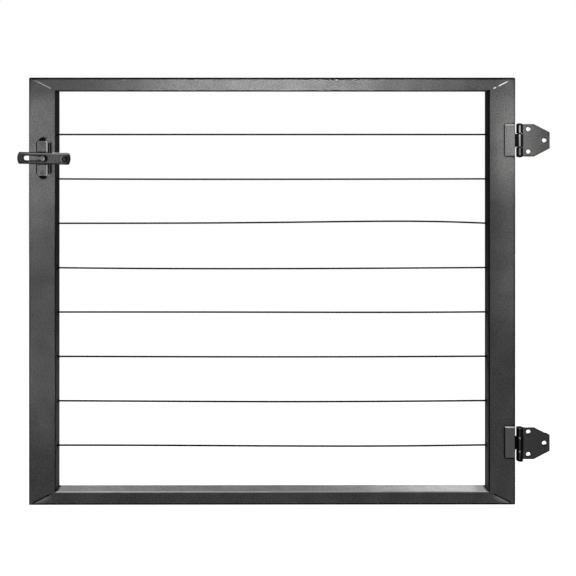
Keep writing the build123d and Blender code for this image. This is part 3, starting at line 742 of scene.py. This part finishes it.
plate_coat, tree, shader = powder_coat(
    "latch_plate_coat", dark="525252", light="686868", roughness=0.5, specular=0.01)
cover(tree, shader, fade(tree, "Z", upper_half_span, start=0.0, end=0.3), "2a2a2a")
more_by_knob = fade(tree, "X", knob_edge_span, start=0.1, end=1.0)
# Painted highlight on the plate's edges, painted shade on its walls and beside the bar.
cover(tree, shader, overlap(tree, broken_edge(tree), more_by_knob), "c1c1c1")
cover(tree, shader, wall_along(tree, "Y"), "080808")
cover(tree, shader, crowded(tree, reach=5 * MM), "121212")
dress(plate_coat, "latch_plate")

screw_coat, tree, shader = powder_coat(
    "latch_screw_coat", dark="4f4f4f", light="616161", roughness=0.5, specular=0.01)
# Painted shade round and in the screws.
cover(tree, shader, own_edges(tree, reach=1.2 * MM), "4c4c4c")
cover(tree, shader, crowded(tree, reach=2 * MM), "424242")
dress(screw_coat, "latch_screws")

# Guide stud and bush: a coated stud with a tapered head holds the bar, which turns and slides
# on the nylon bush on its shank. The knob's side of the head and its walls are painted black as
# shade, round a painted highlight.
stud_low, stud_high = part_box("guide_stud")
stud_middle = (stud_low + stud_high) / 2
shaded_span = (stud_middle.x + 0.5 * MM, stud_middle.x + 2.0 * MM)
glint_span = (stud_middle.z - 1.0 * MM, stud_middle.z + 1.5 * MM)
rim_radius = 3.6 * MM
glint_radius, glint_half = 3.25 * MM, 0.35 * MM


def off_centre(tree, x, z):
    """How far a point of a piece lies from a line through the gate, front to back, at x and z."""
    place = add(tree, "ShaderNodeTexCoord", {}).outputs["Object"]
    level = add(tree, "ShaderNodeVectorMath", {
        0: place, 1: (1.0, 0.0, 1.0)}, operation="MULTIPLY")
    return add(tree, "ShaderNodeVectorMath", {
        0: level, 1: (x, 0.0, z)}, operation="DISTANCE").outputs["Value"]


stud_coat, tree, shader = powder_coat(
    "guide_stud_coat", dark="535353", light="656565", roughness=0.45, specular=0.01)
from_middle = off_centre(tree, stud_middle.x, stud_middle.z)
shaded_side = fade(tree, "X", shaded_span)
rim = add(tree, "ShaderNodeMath", {0: from_middle, 1: rim_radius}, operation="GREATER_THAN")
# Painted shade on the knob's side of the head, and a painted highlight inside it.
cover(tree, shader, overlap(tree, rim, shaded_side), "060606")
glint = add(tree, "ShaderNodeMath", {
    0: from_middle, 1: glint_radius, 2: glint_half}, operation="COMPARE")
more_below = fade(tree, "Z", glint_span, start=1.0, end=0.3)
cover(tree, shader, overlap(tree, glint, shaded_side, more_below), "cdcdcd")
cover(tree, shader, wall_along(tree, "Y"), "060606")
dress(stud_coat, "guide_stud")

bush_nylon = moulding(
    "turned_nylon", dark="0e0e0e", light="1a1a1a", roughness=0.45, specular=0.02)[0]
dress(bush_nylon, "guide_bush")

# Latch bar: a slotted flat bar. Its coat is dark, painted darker still as shade at the tip that
# goes into its keeper, and black as shade along its edges and its slot. A line below the upper
# edge carries a painted highlight, and so does that edge past the stile. Painted shade lies round
# what stands on it.
bar_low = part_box("latch_bar")[0]
joints = {joint["name"]: joint for joint in frame["record"]["behaviour"]["joints"]}
slide_axis = joints["latch_slide"]["axis"]
bar_upward = (-slide_axis[2], 0.0, slide_axis[0])
highlight_height, highlight_half = 8.6 * MM, 0.6 * MM
upper_edge = 9.8 * MM
tip_span = (bar_low.x, latch_low.x + 12 * MM)

bar_coat, tree, shader = powder_coat(
    "latch_bar_coat", dark="393939", light="4b4b4b", roughness=0.5, specular=0.01)
from_stud = add(tree, "ShaderNodeVectorMath", {
    0: add(tree, "ShaderNodeTexCoord", {}).outputs["Object"],
    1: stud_middle}, operation="SUBTRACT")
height = add(tree, "ShaderNodeVectorMath", {
    0: from_stud, 1: bar_upward}, operation="DOT_PRODUCT").outputs["Value"]
# Painted shade on the edges, painted highlights along the top, and painted shade at the tip and
# round the stud and knob.
cover(tree, shader, own_edges(tree, reach=3.4 * MM), "0c0c0c")
highlight_line = add(tree, "ShaderNodeMath", {
    0: height, 1: highlight_height, 2: highlight_half}, operation="COMPARE")
cover(tree, shader, highlight_line, "747474")
on_edge = add(tree, "ShaderNodeMath", {0: height, 1: upper_edge}, operation="GREATER_THAN")
cover(tree, shader, overlap(tree, on_edge, past(tree, "X", latch_high.x)), "a0a0a0")
cover(tree, shader, fade(tree, "X", tip_span, start=0.7, end=0.0), "111111")
cover(tree, shader, crowded(tree, reach=4 * MM), "0a0a0a")
dress(bar_coat, "latch_bar")

# Knob: a turned pull of black phenolic, drawn on to the bar by a plated screw from behind. Its
# face is painted with a black ring of shade, its far side and walls are painted black as shade,
# and its rim carries a painted highlight on the side of the stud.
knob_low, knob_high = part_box("latch_knob")
knob_middle = (knob_low + knob_high) / 2
shade_x, shade_z = knob_middle.x + 1.0 * MM, knob_middle.z - 1.4 * MM
shade_radius, shade_half = 3.9 * MM, 1.1 * MM
far_x = knob_middle.x + 2.2 * MM
foot_z = knob_middle.z - 4.0 * MM

knob_phenolic, tree, shader = moulding(
    "turned_phenolic", dark="2c2c2c", light="383838", roughness=0.4, specular=0.02)
# Painted shade in a ring and on the far side, and a painted highlight on the rim.
shade_ring = add(tree, "ShaderNodeMath", {
    0: off_centre(tree, shade_x, shade_z), 1: shade_radius, 2: shade_half}, operation="COMPARE")
cover(tree, shader, shade_ring, "060606")
cover(tree, shader, overlap(tree, past(tree, "X", far_x), past(tree, "Z", foot_z)), "060606")
rounded_rim = edge_turn(tree, least=0.2, most=0.9)
stud_side = faces_against(tree, "X", least=0.35)
cover(tree, shader, overlap(tree, rounded_rim, stud_side), "a1a1a1")
cover(tree, shader, wall_along(tree, "Y"), "060606")
dress(knob_phenolic, "latch_knob")
dress(zinc_plate, "knob_screw")

# The stage: a wide pale floor well below the gate, and plain white all round. Both are white
# to the eye, straight and in reflections, and give the gate little light.
floor_drop = 650 * MM
floor_half = 6.0
floor_glow = 0.98
world_light = 0.04
floor_z = low_z - floor_drop
floor_corners = [(-1, -1), (1, -1), (1, 1), (-1, 1)]


def seen(tree):
    """A mask that is 1 for the rays that show a thing to the eye, straight, in gloss or glass."""
    path = add(tree, "ShaderNodeLightPath", {}).outputs
    return either(
        tree, path["Is Camera Ray"], path["Is Glossy Ray"], path["Is Transmission Ray"])


floor_mesh = bpy.data.meshes.new("floor")
floor_mesh.from_pydata(
    [(middle_x + x * floor_half, y * floor_half, floor_z) for x, y in floor_corners],
    [], [(0, 1, 2, 3)])
floor = new_object("floor", floor_mesh)

floor_finish, tree = new_finish("pale_floor")
glow = add(tree, "ShaderNodeMath", {0: seen(tree), 1: floor_glow}, operation="MULTIPLY")
shader = add(tree, "ShaderNodeBsdfPrincipled", {
    "Base Color": linear("d0d0d0"), "Roughness": 0.9, "Emission Color": linear("ffffff"),
    "Emission Strength": glow})
add(tree, "ShaderNodeOutputMaterial", {"Surface": shader})
floor_mesh.materials.append(floor_finish)

world = bpy.data.worlds.new("white_studio")
world.use_nodes = True
tree = world.node_tree
tree.nodes.clear()
strength = add(tree, "ShaderNodeMapRange", {
    "Value": seen(tree), "To Min": world_light, "To Max": 1.0})
background = add(tree, "ShaderNodeBackground", {
    "Color": linear("ffffff"), "Strength": strength})
add(tree, "ShaderNodeOutputWorld", {"Surface": background})
bpy.context.scene.world = world

# Light: a wide fill lights the front evenly, and gridded lamps beside it add light to the top
# rail and the outer sides. One lamp lights the back. Those above light the top of the bottom
# rail and the knuckles of the lower hinge.
front = -8.0
above = top_z + 1.0
behind = 0.5
inner_y = 12 * MM
left_x, right_x = middle_x - 0.3, middle_x + 0.3
hinge_lamp_x = axis_x - 20 * MM


def soft_box(name, place, target, width, height, power, spread):
    """A soft area lamp at place, turned to target. A grid narrows its spread, in degrees."""
    data = bpy.data.lights.new(name, "AREA")
    data.shape = "RECTANGLE"
    data.size = width
    data.size_y = height
    data.energy = power
    data.spread = radians(spread)
    lamp = new_object(name, data)
    lamp.location = place
    lamp.rotation_euler = (Vector(target) - Vector(place)).to_track_quat("-Z", "Y").to_euler()
    lamp.visible_camera = False


soft_box("key", (middle_x, front, top_z + 0.5), (middle_x, 0.0, top_z),
         width=0.45, height=0.25, power=1.73, spread=4.1)
soft_box("left", (left_x, front, top_z), (latch_low.x, 0.0, top_z - 140 * MM),
         width=0.3, height=0.3, power=0.49, spread=3.9)
soft_box("left_low", (left_x, front, top_z), (latch_low.x, 0.0, 140 * MM),
         width=0.3, height=0.2, power=0.105, spread=2.3)
soft_box("right", (right_x, front, top_z), (hinge_high.x + 6 * MM, 0.0, top_z - 118 * MM),
         width=0.02, height=0.15, power=0.064, spread=1.1)
soft_box("right_top", (right_x, front, top_z), (hinge_low.x - 50 * MM, 0.0, top_z - 12 * MM),
         width=0.12, height=0.02, power=0.013, spread=1.2)
soft_box("right_low", (right_x, front, top_z), (hinge_high.x + 4 * MM, 0.0, top_z - 228 * MM),
         width=0.02, height=0.46, power=0.056, spread=1.1)
soft_box("fill", (middle_x, front, top_z - 0.2), (middle_x, 0.0, top_z - 0.4),
         width=1.5, height=1.5, power=19.0, spread=60.0)
soft_box("rear", (middle_x, 4.5, top_z + 4.0), (middle_x, 0.0, top_z - 0.4),
         width=1.5, height=1.5, power=23.0, spread=60.0)
soft_box("hinge_top", (hinge_lamp_x, -120 * MM, above), (hinge_lamp_x, -4 * MM, 30 * MM),
         width=0.06, height=0.05, power=0.016, spread=4.0)
soft_box("above", (middle_x, behind, above), (middle_x, inner_y, low_z),
         width=0.9, height=0.05, power=0.86, spread=14.0)
soft_box("above_left", (latch_high.x, behind, above), (latch_high.x, inner_y, low_z),
         width=0.3, height=0.05, power=0.25, spread=16.0)
soft_box("above_right", (hinge_low.x, behind, above), (hinge_low.x, inner_y, low_z),
         width=0.3, height=0.05, power=1.27, spread=16.0)

# The camera stands square to the gate, a little below its top rail, and its shift brings the
# gate to the place that it has in the photograph.
camera_aside = 5.8 * MM
camera_distance = 1145.3 * MM
camera_height = 686 * MM
camera_turn = -0.076
camera_data = bpy.data.cameras.new("camera")
camera_data.sensor_width = 36.0
camera_data.lens = 38.14
camera_data.shift_x = 0.0206
camera_data.shift_y = -0.2573
camera = new_object("camera", camera_data)
camera.location = (middle_x + camera_aside, -camera_distance, low_z + camera_height)
camera.rotation_euler = (pi / 2, 0.0, radians(camera_turn))
bpy.context.scene.camera = camera
bpy.context.scene.view_settings.view_transform = "Standard"
